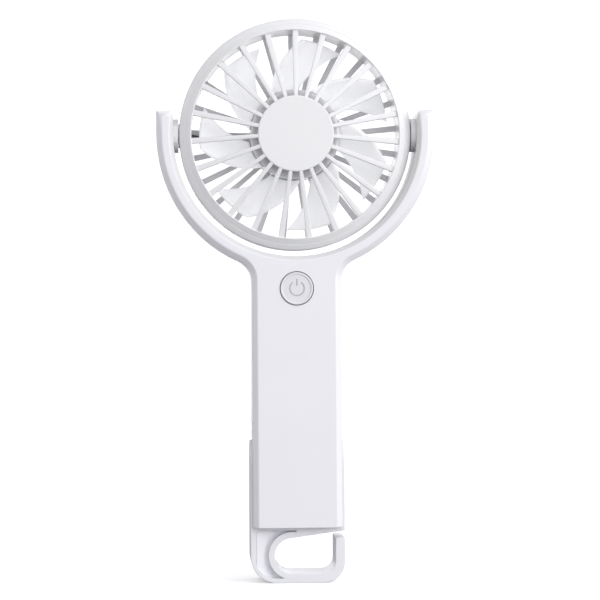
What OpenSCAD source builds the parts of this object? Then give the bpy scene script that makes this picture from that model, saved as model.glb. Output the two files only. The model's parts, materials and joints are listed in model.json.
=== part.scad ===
// Handheld fan: tilting guarded head in a yoke, handle with battery and switch, folding stand with hook.
// X is to the right, -Y is the blowing side, +Z is up; the hook's flat bottom is at Z = 0.

/* [Head] */
// Outer radius of the guard ring
ring_r = 39.2; // [38.6:0.1:39.4]
// Radius of the air opening inside the guard ring
open_r = 35.1; // [34.8:0.1:35.4]
// How far the ring reaches in front of and behind the tilt axis
ring_half = 9.0; // [8.6:0.1:9.0]
// How far the guard's centre reaches in front of and behind the tilt axis
head_half = 12.2; // [12.2:0.1:12.6]
// Radius of the plain disc at the front guard's centre
disc_r = 12.8; // [12:0.05:13]
// Number of ribs in the front guard
front_ribs = 23; // [19:1:25]
// Number of ribs in the rear guard
rear_ribs = 25; // [21:1:27]

/* [Impeller] */
// Number of blades
blades = 7; // [5:1:8]
// Radius at the blade tips
tip_r = 32; // [30:0.5:33]
// Radius of the hub
hub_r = 15.2; // [15:0.1:15.6]

/* [Yoke] */
// Outer radius of the yoke
yoke_r = 46.9; // [46.7:0.1:47.6]
// Inner radius of the yoke
yoke_in_r = 41.2; // [41:0.1:41.4]
// Height of the tilt axis
tilt_z = 151.8; // [151:0.1:153]
// Height of the arm tips above the tilt axis
arm_tip = 8; // [7.5:0.5:10]

/* [Handle] */
// Width of the handle
handle_w = 30.3; // [30.2:0.1:30.8]
// Half of the handle's depth
handle_half = 10.5; // [10.5:0.1:10.8]
// Height of the handle's front bottom edge
handle_z = 19.1; // [19:0.1:19.3]
// Radius of the fillets between the handle and the yoke
neck_fillet = 7.4; // [6:0.1:9]
// Wall thickness of the shells
wall = 1.6; // [1.4:0.1:1.7]
// Height of the power button's centre
button_z = 99.7; // [99:0.1:100]

/* [Stand] */
// Half of the width across the stand's cheeks
stand_half_w = 16.0; // [15.9:0.1:16.4]
// Height of the stand's hinge
hinge_z = 39.8; // [39.4:0.1:40]
// Thickness of the hook's bottom bar
hook_bar = 3.2; // [3:0.1:3.6]

/* [Hidden] */
$fn = 64;

eps = 0.01;
shell_white = [0.93, 0.93, 0.95];
gap = 0.3;                        // between a moving part and its neighbour

// Yoke and neck outline
arc_step = 4;
fillet_x = handle_w / 2 + neck_fillet;
fillet_dz = sqrt(pow(yoke_r + neck_fillet, 2) - pow(fillet_x, 2));
fillet_z = tilt_z - fillet_dz;
fillet_touch = atan2(fillet_dz, fillet_x);
tip_lead_in = 0.9;                // the arms' inner edges slant back at the tips

// Stand hinge and the recess around its cheeks
hinge_y = 2;
cheek_r = handle_half - hinge_y;  // the cheeks' rounded tops share the hinge axis
stand_front = hinge_y - cheek_r;
cheek_in = 14.6;
recess_x = cheek_in - gap;
recess_front = stand_front - gap;
recess_top = hinge_z + cheek_r + gap;
recess_back = handle_half - 2.2;
floor_z = handle_z + 2.1;         // the handle's underside behind its front lip
sweep_r = hinge_z - floor_z;
pin_r = 1.25;
pin_in = 12.4;
eye_r = 6.05;
eye_mid = [-1.8, hook_bar + eye_r];

// Handle interior
inner_front = handle_half - wall;
low_cavity_x = recess_x - wall;
high_cavity_x = handle_w / 2 - wall;
low_cavity_back = recess_back - wall;
cavity_z = floor_z + wall;
cavity_top = 105;
neck_slot_x = 9;
neck_slot_top = 108.5;
screw_x = 10.4;
screw_zs = [27, 80];
screw_pilot_r = 0.9;
screw_head_r = 1.75;
boss_r = 2.2;

// Tilt pivots
pivot_boss_r = 4.1;
pivot_boss_x = [38.0, 39.4];
journal_r = 2.5;
journal_end = 44.2;
collar_x = [42.8, 43.9];
collar_r = 3.4;
shank_w = 5;
shank_x = 36.2;
washer_r = 5.7;
washer_t = 1.7;
lead_bore_r = 1.1;
fit = 0.05;

// Wire channel in the left arm
channel_r = [44.2, 45.8];
channel_start = 178;
channel_end = 262;
lead_r = 0.55;
lead_path_r = 45.0;

// Button, board and socket
cap_r = 5.5;
cap_front = handle_half + 0.6;
cap_flange_r = 6.4;
button_ring_r = [6.0, 6.9];
button_ring_h = 0.3;
plunger_tip = -4.4;
plunger_r = 1.75;
board_y = [0.6, 1.6];
board_z = [84, 104];
board_half_w = 11;
switch_w = 6;
switch_h = 3.5;
socket_z = 90;
socket_size = [8.94, 3.26];
socket_mouth = 10.1;
post_x = 8.6;
post_z = 101.6;

// Cell
cell_r = 7.1;
cell_len = 50;
cell_y = -1.1;
cell_z = 24.6;
tab_turn = 50;
tab_t = 0.3;
cradle_zs = [35, 46, 65];

// Guard sections, as radius and distance from the tilt axis
lip_flat = 0.4;
face_slope = 38;
shoulder_r = 1.2;
hollow_top = 6.2;
hollow_drop = 1.5;
ring_wall = 1.2;
skin = 1.4;
rib_ring_top = 8.4;
rib_ring_low = 5.8;
rib_low = 10;
rib_end_r = open_r + 0.5;
lug_half = 4.6;
lug_depth = 6;
seat_r = hub_r;
seat_rim = 1.2;
plate_t = 1.4;
strut_w = 3.4;

// Motor, as radius and distance in front of the tilt axis
shaft_r = 1;
bell_r = 12.9;
bell_t = 0.7;
bell_span = [-1.8, 6.6];
magnet_r = [10.8, 12.2];
core_r = 10.4;
core_span = [-0.8, 3.6];
coil_over = 1;
tube_r = [2.5, 3.4];
tube_front = 4.6;
sleeve_span = [-9.0, 4.2];
motor_poles = 6;
motor_board_span = [-5.4, -4.4];

// Blades
blade_t = 1.2;
blade_root_r = hub_r - 0.4;
blade_sweep = 30;
blade_rings = 5;
blade_strips = 4;

function arc(c, r, a0, a1) =
    let (n = max(1, ceil(abs(a1 - a0) / arc_step)))
    [for (i = [0:n]) let (a = a0 + (a1 - a0) * i / n) [c[0] + r * cos(a), c[1] + r * sin(a)]];
function flip(points) = [for (i = [len(points) - 1:-1:0]) [-points[i][0], points[i][1]]];

// Right half of the body's front outline, from the handle's bottom up and round to the yoke's inside
function body_half() = concat(
    [[handle_w / 2, handle_z]],
    arc([fillet_x, fillet_z], neck_fillet, 180, 180 - fillet_touch),
    arc([0, tilt_z], yoke_r, -fillet_touch, 0),
    [[yoke_r, tilt_z + arm_tip], [yoke_in_r + tip_lead_in, tilt_z + arm_tip],
     [yoke_in_r, tilt_z + washer_r]],
    arc([0, tilt_z], yoke_in_r, 0, -90));

module body_slab(y0, y1) {
    translate([0, y1, 0]) rotate([90, 0, 0]) linear_extrude(y1 - y0)
        polygon(concat(body_half(), flip(body_half())));
}

// A box from its low corner to its high corner
module block(low, high) {
    translate(low) cube(high - low);
}

// Cylinders along Y and X between two stations
module rod_y(x, z, y0, y1, r) {
    translate([x, y1, z]) rotate([90, 0, 0]) cylinder(r = r, h = y1 - y0);
}

module rod_x(y, z, x0, x1, r) {
    translate([x0, y, z]) rotate([0, 90, 0]) cylinder(r = r, h = x1 - x0);
}

// Insulated wire along a list of points: one eight-sided tube, mitred at the bends
wire_sides = 8;
wire_ref = [0.31, 0.52, 0.79];    // lies along no stretch of wire
function unit(v) = v / norm(v);
function wire_ring(points, i, r) =
    let (before = unit(points[i] - points[max(i - 1, 0)] + (i == 0 ? points[1] - points[0] : [0, 0, 0])),
         last = len(points) - 1,
         after = unit(points[min(i + 1, last)] - points[i]
             + (i == last ? points[last] - points[last - 1] : [0, 0, 0])),
         along = unit(before + after),
         u = unit(cross(along, wire_ref)),
         v = cross(along, u))
    [for (k = [0:wire_sides - 1]) let (a = 360 * k / wire_sides)
        points[i] + r * (u * cos(a) + v * sin(a))];

module wire(points, r) {
    last = len(points) - 1;
    rings = [for (i = [0:last]) each wire_ring(points, i, r)];
    walls = [for (i = [0:last - 1], k = [0:wire_sides - 1])
        let (a = i * wire_sides + k, b = i * wire_sides + (k + 1) % wire_sides)
        each [[a, b + wire_sides, b], [a, a + wire_sides, b + wire_sides]]];
    caps = [[for (k = [0:wire_sides - 1]) k],
        [for (k = [wire_sides - 1:-1:0]) last * wire_sides + k]];
    polyhedron(rings, concat(walls, caps));
}

// Puts a shape drawn about the head's axis in place; its own +Z becomes the blowing side
module in_head() {
    translate([0, 0, tilt_z]) rotate([90, 0, 0]) children();
}

module tube(span, r_in, r_out) {
    translate([0, 0, span[0]]) difference() {
        cylinder(r = r_out, h = span[1] - span[0]);
        translate([0, 0, -1]) cylinder(r = r_in, h = span[1] - span[0] + 2);
    }
}

// A shape drawn in the Y-Z plane, extruded along X
module slab_x(x0, x1) {
    translate([x0, 0, 0]) rotate([90, 0, 90]) linear_extrude(x1 - x0) children();
}

// Room for the stand's cheeks, back plate and crossbar, over its whole swing
module stand_room() {
    far = 30;
    hinge = [hinge_y, hinge_z];
    for (side = [0, 1]) mirror([side, 0, 0]) slab_x(recess_x, far)
        polygon(concat([[far, 0], [far, recess_top]],
            arc(hinge, cheek_r + gap, 90, 180), [[recess_front, 0]]));
    block([-far, recess_back, 0], [far, far, recess_top + 0.2]);
    slab_x(-far, far) polygon(concat([[recess_front, 0], [far, 0]],
        [[far, hinge_z + sweep_r * sin(-60)]], arc(hinge, sweep_r, -60, -90),
        [[recess_front, floor_z]]));
}

// Bores for the tilt pivots and the channel for the wire, shared by both shells
module yoke_cuts() {
    for (side = [0, 1]) mirror([side, 0, 0]) {
        rod_x(0, tilt_z, 30, yoke_in_r, washer_r + 0.05);
        rod_x(0, tilt_z, yoke_in_r - eps, journal_end + 0.2, journal_r + fit);
        rod_x(0, tilt_z, collar_x[0] - 0.1, collar_x[1] + 0.1, collar_r + 0.1);
    }
    translate([0, 0, tilt_z]) rotate([90, 0, 0]) rotate([0, 0, channel_start])
        rotate_extrude(angle = channel_end - channel_start, $fn = 120)
        translate([channel_r[0], -0.8]) square([channel_r[1] - channel_r[0], 1.6]);
}

// Rib that cradles the cell, from the shell's wall in to the cell
module cradle_rib(z, y0, y1) {
    difference() {
        block([-4, y0, z - 0.6], [4, y1, z + 0.6]);
        translate([0, cell_y, z - 1]) cylinder(r = cell_r + fit, h = 2);
    }
}

// Low raised ring round the power button, sloping away on its outer side
module button_ring() {
    translate([0, -handle_half, button_z]) rotate([90, 0, 0]) rotate_extrude()
        polygon([[cap_r - 0.5, -0.5], [button_ring_r[1], -0.5], [button_ring_r[1], 0],
            [button_ring_r[0], button_ring_h], [cap_r - 0.5, button_ring_h]]);
}

module handle_front_shell() {
    color(shell_white) difference() {
        union() {
            difference() {
                body_slab(-handle_half, 0);
                block([-low_cavity_x, -inner_front, cavity_z], [low_cavity_x, 1, recess_top]);
                block([-high_cavity_x, -inner_front, recess_top + wall],
                    [high_cavity_x, 1, cavity_top]);
                block([-low_cavity_x, -inner_front, recess_top - 1],
                    [low_cavity_x, 1, recess_top + wall + 1]);
                block([-neck_slot_x, -inner_front, cavity_top - 1], [neck_slot_x, 1, neck_slot_top]);
            }
            for (x = [-screw_x, screw_x], z = screw_zs) rod_y(x, z, -inner_front - eps, 0, boss_r);
            for (z = cradle_zs) cradle_rib(z, -inner_front - eps, cell_y - 5);
            button_ring();
        }
        for (x = [-screw_x, screw_x], z = screw_zs) rod_y(x, z, -7, 1, screw_pilot_r);
        rod_y(0, button_z, -handle_half - 1, 0, cap_r + gap);
        stand_room();
        yoke_cuts();
    }
}

module handle_rear_shell() {
    color(shell_white) difference() {
        union() {
            difference() {
                body_slab(0, handle_half);
                block([-low_cavity_x, -1, cavity_z], [low_cavity_x, low_cavity_back, recess_top]);
                block([-high_cavity_x, -1, recess_top + wall],
                    [high_cavity_x, inner_front, cavity_top]);
                block([-low_cavity_x, -1, recess_top - 1],
                    [low_cavity_x, low_cavity_back, recess_top + wall + 1]);
                block([-neck_slot_x, -1, cavity_top - 1], [neck_slot_x, inner_front, neck_slot_top]);
            }
            for (x = [-screw_x, screw_x]) {
                rod_y(x, screw_zs[0], 0, low_cavity_back + eps, boss_r + 0.4);
                rod_y(x, screw_zs[1], 0, inner_front + eps, boss_r + 0.4);
            }
            for (x = [-post_x, post_x]) rod_y(x, post_z, board_y[1], inner_front + eps, 2);
            for (z = cradle_zs)
                cradle_rib(z, cell_y + 5, (z > recess_top ? inner_front : low_cavity_back) + eps);
            for (side = [0, 1]) mirror([side, 0, 0]) intersection() {
                rod_x(hinge_y, hinge_z, pin_in - 1, recess_x, 3);
                block([0, 0, 0], [20, 20, 60]);
            }
        }
        for (x = [-screw_x, screw_x], z = screw_zs) rod_y(x, z, -1, 20, screw_pilot_r + 0.2);
        for (x = [-screw_x, screw_x]) {
            rod_y(x, screw_zs[0], recess_back - 1.5, 20, screw_head_r + 0.1);
            rod_y(x, screw_zs[1], handle_half - 3, 20, screw_head_r + 0.1);
        }
        for (x = [-post_x, post_x]) rod_y(x, post_z, 0, board_y[1] + 5, 0.7);
        for (side = [0, 1]) mirror([side, 0, 0])
            rod_x(hinge_y, hinge_z, pin_in - 0.1, recess_x + 1, pin_r + fit);
        translate([0, 0, socket_z]) socket_outline(4, 12, 0.13);
        stand_room();
        yoke_cuts();
    }
}

// Rounded slot shape of the charging socket, grown by a margin
module socket_outline(y0, y1, margin) {
    r = socket_size[1] / 2 + margin;
    half = socket_size[0] / 2 - socket_size[1] / 2;
    for (x = [-half, half]) rod_y(x, 0, y0, y1, r);
    block([-half, y0, -r], [half, y1, r]);
}

module friction_washers() {
    color(shell_white) for (side = [0, 1]) mirror([side, 0, 0]) difference() {
        rod_x(0, tilt_z, yoke_in_r - washer_t, yoke_in_r, washer_r);
        rod_x(0, tilt_z, yoke_in_r - washer_t - 1, yoke_in_r + 1, journal_r + fit);
    }
}

module pan_screw(x, z, head_y, length, r, head_r, head_h) {
    rod_y(x, z, head_y, head_y + head_h, head_r);
    rod_y(x, z, head_y - length, head_y + eps, r);
}

module shell_screws() {
    color("silver") for (x = [-screw_x, screw_x]) {
        difference() {
            pan_screw(x, screw_zs[0], recess_back - 1.5, 12, screw_pilot_r, screw_head_r, 1.1);
            screw_cross(x, screw_zs[0], recess_back - 0.4);
        }
        difference() {
            pan_screw(x, screw_zs[1], handle_half - 3, 12, screw_pilot_r, screw_head_r, 1.1);
            screw_cross(x, screw_zs[1], handle_half - 1.9);
        }
    }
}

// Cross recess in a screw head
module screw_cross(x, z, y) {
    block([x - 1, y - 0.6, z - 0.2], [x + 1, y + 1, z + 0.2]);
    block([x - 0.2, y - 0.6, z - 1], [x + 0.2, y + 1, z + 1]);
}

module control_board() {
    color("seagreen") difference() {
        block([-board_half_w, board_y[0], board_z[0]], [board_half_w, board_y[1], board_z[1]]);
        for (x = [-post_x, post_x]) rod_y(x, post_z, 0, 3, 0.9);
    }
}

// Flat chips and a coil on the board's front
module board_parts() {
    color("dimgray") {
        block([3.5, board_y[0] - 1.2, 86], [8.5, board_y[0], 90]);
        block([4, board_y[0] - 0.9, 92], [7, board_y[0], 95]);
        block([-3, board_y[0] - 2, 87], [1, board_y[0], 91]);
        block([-9.5, board_y[0] - 0.8, 92], [-7.5, board_y[0], 93]);
        block([-9.5, board_y[0] - 0.8, 95], [-7.5, board_y[0], 96]);
    }
}

module board_screws() {
    color("silver") for (x = [-post_x, post_x]) {
        rod_y(x, post_z, board_y[0] - 0.9, board_y[0], 1.5);
        rod_y(x, post_z, board_y[0] - eps, board_y[1] + 4, 0.7);
    }
}

module switch_body() {
    color("darkslategray") difference() {
        block([-switch_w / 2, board_y[0] - switch_h, button_z - switch_w / 2],
            [switch_w / 2, board_y[0], button_z + switch_w / 2]);
        rod_y(0, button_z, -5, board_y[0] - 1.2, plunger_r + fit);
    }
}

module status_leds() {
    color("lightyellow") for (x = [-5, 5])
        block([x - 0.8, board_y[0] - 0.6, button_z - 0.4], [x + 0.8, board_y[0], button_z + 0.4]);
}

module usb_socket() {
    color("silver") translate([0, 0, socket_z]) {
        difference() {
            socket_outline(board_y[1], socket_mouth, 0);
            socket_outline(socket_mouth - 6.2, socket_mouth + 1, -0.33);
        }
        block([-3.34, socket_mouth - 6.4, -0.35], [3.34, socket_mouth - 1.2, 0.35]);
    }
}

module battery_cell() {
    color("mediumseagreen") translate([0, cell_y, cell_z]) {
        cylinder(r = cell_r, h = cell_len - 0.6);
        translate([0, 0, cell_len - 0.61]) cylinder(r = 2.6, h = 0.61);
    }
}

module cell_tabs() {
    color("silver") for (tab = [[cell_z - tab_t, 8.4], [cell_z + cell_len, 3]])
        translate([0, cell_y, tab[0]]) rotate([0, 0, tab_turn])
            block([-3, -1.5, 0], [tab[1], 1.5, tab_t]);
}

module cell_leads() {
    side_x = 8.2 * cos(tab_turn);
    side_y = cell_y + 8.2 * sin(tab_turn);
    top = cell_z + cell_len + tab_t;
    color("black") wire([[side_x, side_y, cell_z + fit], [side_x, side_y, 72],
        [side_x + 2, 4, 78], [side_x + 2, board_y[1] + lead_r, 84],
        [side_x + 2, board_y[1] + lead_r, 88]], lead_r);
    color("red") wire([[0, cell_y, top + fit], [0, cell_y, top + 1], [-2, cell_y, 78],
        [-6, board_y[0] - lead_r, 82], [-6, board_y[0] - lead_r, 87]], lead_r);
}

module foam_pad() {
    color("gray") translate([0, cell_y, cavity_z]) cylinder(r = 6, h = cell_z - tab_t - cavity_z);
}

module arm_lead() {
    turns = [for (a = [180:6:channel_end])
        [lead_path_r * cos(a), 0, lead_path_r * sin(a) + tilt_z]];
    end = turns[len(turns) - 1];
    down_x = end[0] + 3.8;
    color("black") wire(concat([[-journal_end - 0.1, 0, tilt_z]], turns,
        [[down_x, 0, end[2] - 1], [down_x, 0, post_z]]), lead_r);
}

// Power button: dished face in a raised rim, with a power symbol, flange and stem
module power_button() {
    color(shell_white) difference() {
        union() {
            rod_y(0, button_z, -cap_front, -inner_front + 0.1, cap_r);
            rod_y(0, button_z, -inner_front + 0.1, -inner_front + 0.9, cap_flange_r);
            rod_y(0, button_z, -inner_front + 0.8, plunger_tip, 2.2);
        }
        rod_y(0, button_z, -cap_front - 1, -cap_front + 0.3, cap_r - 0.7);
        translate([0, 0, button_z]) power_symbol();
    }
}

module power_symbol() {
    translate([0, -cap_front + 0.5, 0]) rotate([90, 0, 0]) {
        rotate([0, 0, 125]) rotate_extrude(angle = 290)
            translate([2.2, 0]) square([0.45, 1]);
        translate([-0.22, 0.9, 0]) cube([0.45, 2.3, 1]);
    }
}

module switch_plunger() {
    color("gray") rod_y(0, button_z, plunger_tip, board_y[0] - 1.8, plunger_r);
}

// Solid section of the guard ring, from the tilt axis to its outer face
module ring_section() {
    turn = 90 - face_slope;
    slope_end_r = ring_r - shoulder_r * (1 - cos(turn));
    slope_end_z = ring_half - (slope_end_r - open_r - lip_flat) * tan(face_slope);
    shoulder_z = slope_end_z - shoulder_r * sin(turn);
    polygon(concat([[open_r, 0], [ring_r, 0]],
        [for (i = [0:4]) [ring_r - shoulder_r * (1 - cos(turn * i / 4)),
            shoulder_z + shoulder_r * sin(turn * i / 4)]],
        [[open_r + lip_flat, ring_half], [open_r, ring_half]]));
}

// Ring with a hollow between its walls, and two solid lugs where the pivots sit
module guard_ring() {
    difference() {
        rotate_extrude($fn = 180) difference() {
            ring_section();
            polygon([[open_r + ring_wall, -1], [ring_r - skin, -1],
                [ring_r - skin, hollow_top - hollow_drop], [open_r + ring_wall, hollow_top]]);
        }
        pivot_sockets();
    }
    difference() {
        intersection() {
            rotate_extrude($fn = 180) ring_section();
            for (x = [-ring_r, ring_r]) block([x - 6, -lug_half, 0], [x + 6, lug_half, lug_depth]);
        }
        pivot_sockets();
    }
}

// Square and round seats of the tilt pivots, and the way through for the wire
module pivot_sockets() {
    for (side = [0, 1]) mirror([side, 0, 0]) {
        block([shank_x, -shank_w / 2, -shank_w / 2], [ring_r + 1, shank_w / 2, shank_w / 2]);
        rotate([0, 90, 0]) translate([0, 0, pivot_boss_x[0]]) cylinder(r = pivot_boss_r, h = 3);
    }
    rotate([0, -90, 0]) translate([0, 0, open_r - 1]) cylinder(r = lead_bore_r, h = 3);
}

// Ribs cut from a dished band, widening from root to ring
module ribs(count, first, r0, w0, w1, top) {
    intersection() {
        rotate_extrude($fn = 180) polygon([[r0, top], [rib_end_r, rib_ring_top],
            [rib_end_r, rib_ring_low], [r0, rib_low]]);
        for (i = [0:count - 1]) rotate([0, 0, first - i * 360 / count])
            linear_extrude(head_half + 1) polygon([[-w0 / 2, r0 - 1], [w0 / 2, r0 - 1],
                [w1 / 2, rib_end_r + 1], [-w1 / 2, rib_end_r + 1]]);
    }
}

module front_guard() {
    color(shell_white) in_head() {
        difference() {
            guard_ring();
            tube([-1, 1.6], ring_r - skin - 1, ring_r - skin + 0.7);
        }
        ribs(front_ribs, 0, disc_r - 0.6, 1.3, 2.0, head_half - 0.05);
        translate([0, 0, head_half - plate_t]) cylinder(r = disc_r, h = plate_t);
    }
}

module rear_guard() {
    color(shell_white) in_head() {
        mirror([0, 0, 1]) {
            guard_ring();
            ribs(rear_ribs, -13.4, seat_r - 0.6, 1.5, 2.0, head_half - 0.05);
            difference() {
                intersection() {
                    rotate_extrude($fn = 180) polygon([[seat_r - 0.6, head_half - 0.05],
                        [rib_end_r, rib_ring_top], [rib_end_r, rib_ring_low], [seat_r - 0.6, rib_low]]);
                    block([-40, -strut_w / 2, 0], [0, strut_w / 2, 20]);
                }
                block([-rib_end_r - 1, -0.8, 0], [0, 0.8, rib_ring_low + 1.2]);
            }
            translate([0, 0, head_half - plate_t]) cylinder(r = seat_r, h = plate_t);
            difference() {
                tube([6, head_half - plate_t + eps], seat_r - seat_rim, seat_r);
                block([-20, -1, 0], [0, 1, 8]);
            }
            for (a = [30:120:270]) rotate([0, 0, a])
                translate([9, 0, -motor_board_span[0]]) cylinder(r = 0.9, h = 5.5);
        }
        intersection() {
            tube([-1, 1.5], ring_r - skin, ring_r - skin + 0.6);
            difference() {
                cylinder(r = 60, h = 10, center = true);
                block([-60, -lug_half - 0.1, -9], [60, lug_half + 0.1, 9]);
            }
        }
    }
}

// Tilt pivot: square shank in the ring, boss, journal and retaining collar
module pivot_solid() {
    difference() {
        union() {
            block([shank_x, -shank_w / 2, tilt_z - shank_w / 2],
                [pivot_boss_x[0] + eps, shank_w / 2, tilt_z + shank_w / 2]);
            rod_x(0, tilt_z, pivot_boss_x[0], pivot_boss_x[1], pivot_boss_r);
            rod_x(0, tilt_z, pivot_boss_x[1] - eps, journal_end, journal_r);
            rod_x(0, tilt_z, collar_x[0], collar_x[1], collar_r);
        }
        children();
    }
}

module left_pivot() {
    color(shell_white) mirror([1, 0, 0]) pivot_solid()
        rod_x(0, tilt_z, shank_x - 1, journal_end + 1, lead_bore_r);
}

module right_pivot() {
    color(shell_white) pivot_solid() rod_x(0, tilt_z, journal_end - 3, journal_end + 1, lead_bore_r);
}

module bearing_tube() {
    color("gold") in_head() tube([-head_half + plate_t, tube_front], tube_r[0], tube_r[1]);
}

module sleeve_bearing() {
    color("peru") in_head() tube(sleeve_span, shaft_r + fit, tube_r[0]);
}

module thrust_pad() {
    color("ivory") in_head() translate([0, 0, -head_half + plate_t]) cylinder(r = 2.4, h = 0.5);
}

// One tooth of the stator, drawn along +X
module tooth(w, r0, r1, span) {
    block([r0, -w / 2, span[0]], [r1, w / 2, span[1]]);
}

module stator_core() {
    color("slategray") in_head() {
        tube(core_span, tube_r[1], tube_r[1] + 2);
        intersection() {
            tube(core_span, tube_r[1] + 1, core_r);
            union() {
                for (i = [0:motor_poles - 1]) rotate([0, 0, i * 360 / motor_poles]) {
                    tooth(2, tube_r[1] + 1.5, core_r + 1, core_span);
                    intersection() {
                        tube(core_span, core_r - 1, core_r + 1);
                        tooth(8.6, 6, core_r + 1, core_span);
                    }
                }
            }
        }
    }
}

module stator_windings() {
    coil_span = [core_span[0] - coil_over, core_span[1] + coil_over];
    color("sienna") in_head() for (i = [0:motor_poles - 1])
        rotate([0, 0, i * 360 / motor_poles]) difference() {
            tooth(4.6, 5.8, core_r - 1.5, coil_span);
            tooth(2, 5, core_r, core_span);
        }
}

module motor_board() {
    color("seagreen") in_head() difference() {
        tube(motor_board_span, tube_r[1], seat_r - seat_rim - 0.2);
        block([-20, -1, -8], [-12, 1, 0]);
    }
}

module head_lead() {
    color("black") wire([[-journal_end, 0, tilt_z], [-open_r + 0.9, 0, tilt_z],
        [-open_r + 2.2, rib_ring_low, tilt_z], [-18, rib_ring_low + 1.2, tilt_z],
        [-13, 6.3, tilt_z], [-8, 5.4 + lead_r, tilt_z]], lead_r);
}

// Blade surface, clockwise as seen from the blowing side; s runs from trailing to leading edge
function blade_arc(r) = 34 - 9 * (r - hub_r) / (tip_r - hub_r);
function blade_rise(r) = 8 - 2 * (r - hub_r) / (tip_r - hub_r);
function blade_point(r, s, lift) =
    let (turn = blade_sweep * (r - hub_r) / (tip_r - hub_r) + blade_arc(r) * (s - 0.5))
    [r * sin(turn), r * cos(turn), 1.9 + blade_rise(r) * (0.5 - s) - 1.2 * sin(180 * s) + lift];

module blade() {
    across = blade_strips + 1;
    sheet = (blade_rings + 1) * across;
    points = [for (lift = [-blade_t / 2, blade_t / 2], j = [0:blade_rings], i = [0:blade_strips])
        blade_point(blade_root_r + (tip_r - blade_root_r) * j / blade_rings, i / blade_strips, lift)];
    cells = [for (j = [0:blade_rings - 1], i = [0:blade_strips - 1]) j * across + i];
    low = [for (c = cells) each [[c, c + 1, c + across], [c + 1, c + across + 1, c + across]]];
    edge = concat([for (i = [0:blade_strips]) i],
        [for (j = [1:blade_rings]) j * across + blade_strips],
        [for (i = [blade_strips - 1:-1:0]) blade_rings * across + i],
        [for (j = [blade_rings - 1:-1:1]) j * across]);
    rim = [for (k = [0:len(edge) - 1]) let (a = edge[k], b = edge[(k + 1) % len(edge)])
        each [[a, b + sheet, b], [a, a + sheet, b + sheet]]];
    top = [for (f = low) [f[0] + sheet, f[2] + sheet, f[1] + sheet]];
    polyhedron(points, concat(low, top, rim));
}

module impeller() {
    hub_front = bell_span[1] + 1.4;
    color([0.96, 0.96, 0.97]) in_head() {
        difference() {
            rotate_extrude($fn = 120) polygon([[0, bell_span[1]], [0, hub_front],
                [hub_r - 1, hub_front], [hub_r, hub_front - 1], [hub_r, -2], [bell_r, -2],
                [bell_r, bell_span[1]]]);
            tube([-3, 5], bell_r + 0.7, hub_r - 0.9);
            cylinder(r = shaft_r, h = bell_span[1] + 1);
        }
        for (i = [0:blades - 1]) rotate([0, 0, -12 - i * 360 / blades]) blade();
    }
}

module rotor_bell() {
    color("gainsboro") in_head() {
        tube(bell_span, bell_r - bell_t, bell_r);
        tube([bell_span[1] - bell_t, bell_span[1]], shaft_r, bell_r - bell_t + eps);
    }
}

module magnet_ring() {
    color("dimgray") in_head() tube([bell_span[0] + 0.4, bell_span[1] - bell_t - 0.7],
        magnet_r[0], magnet_r[1]);
}

module motor_shaft() {
    color("silver") in_head() difference() {
        translate([0, 0, -10.2]) cylinder(r = shaft_r, h = 10.2 + bell_span[1] + 1);
        tube([-9.6, -9.3], 0.7, 2);
    }
}

module shaft_clip() {
    color("gray") in_head() difference() {
        tube([-9.55, -9.35], 0.75, 1.9);
        block([0, -0.5, -10], [3, 0.5, -9]);
    }
}

// Hook outline seen from the front, drawn in by a margin
module hook_outline(e) {
    left_r = 9;
    right_r = 7.4;
    w = stand_half_w;
    top = floor_z - gap;
    polygon(concat([[w - e, top - e], [-w + e, top - e]],
        arc([-w + left_r, left_r], left_r - e, 180, 270),
        arc([w - right_r, right_r], right_r - e, 270, 360)));
}

// Eye of the hook: round on the left, open at the upper right through a slanting slit
module hook_eye() {
    top = hook_bar + 2 * eye_r;
    arm_in = stand_half_w - 3.2;
    corner = 4.2;
    slit = 2.4;
    polygon(concat(arc(eye_mid, eye_r, 90, 270),
        arc([arm_in - corner, hook_bar + corner], corner, 270, 360),
        [[arm_in, top], [stand_half_w + 1, top + 0.1], [stand_half_w + 1, top + 0.1 + slit]]));
}

// Crescent recess beside the eye, its floor sloping down towards the eye's rim
module hook_pocket() {
    left = -stand_half_w + 2;
    right = -0.6;
    top = 17.8;
    corner = 1.4;
    rim = 2.1;
    intersection() {
        translate([0, 10, 0]) rotate([90, 0, 0]) linear_extrude(20) difference() {
            intersection() {
                hook_outline(1.6);
                polygon(concat([[left, 0], [right, 0], [right, top]],
                    arc([left + corner, top - corner], corner, 90, 180)));
            }
            polygon(arc(eye_mid, eye_r + rim, 0, 356));
        }
        linear_extrude(20) polygon([[left, stand_front - 1], [left, stand_front + 0.3],
            [eye_mid[0] - eye_r, stand_front + 2.4], [right + 1, stand_front + 2.4],
            [right + 1, stand_front - 1]]);
    }
}

module stand_bracket() {
    depth = 2 * cheek_r;
    plate_top = hinge_z - cheek_r + 1.9 - gap;
    color(shell_white) difference() {
        union() {
            translate([0, stand_front + depth, 0]) rotate([90, 0, 0]) linear_extrude(depth)
                difference() {
                    hook_outline(0);
                    hook_eye();
                }
            for (side = [0, 1]) mirror([side, 0, 0]) slab_x(cheek_in, stand_half_w)
                polygon(concat(arc([hinge_y, hinge_z], cheek_r, 0, 180),
                    [[stand_front, floor_z - gap - 1], [handle_half, floor_z - gap - 1]]));
            block([-cheek_in - 1, recess_back + gap, floor_z - gap - 1],
                [cheek_in + 1, handle_half, plate_top]);
        }
        hook_pocket();
        for (side = [0, 1]) mirror([side, 0, 0])
            rod_x(hinge_y, hinge_z, cheek_in - 1, stand_half_w - 0.4, pin_r);
    }
}

module stand_pins() {
    color("silver") for (side = [0, 1]) mirror([side, 0, 0])
        rod_x(hinge_y, hinge_z, pin_in, stand_half_w - 0.4, pin_r);
}

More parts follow.
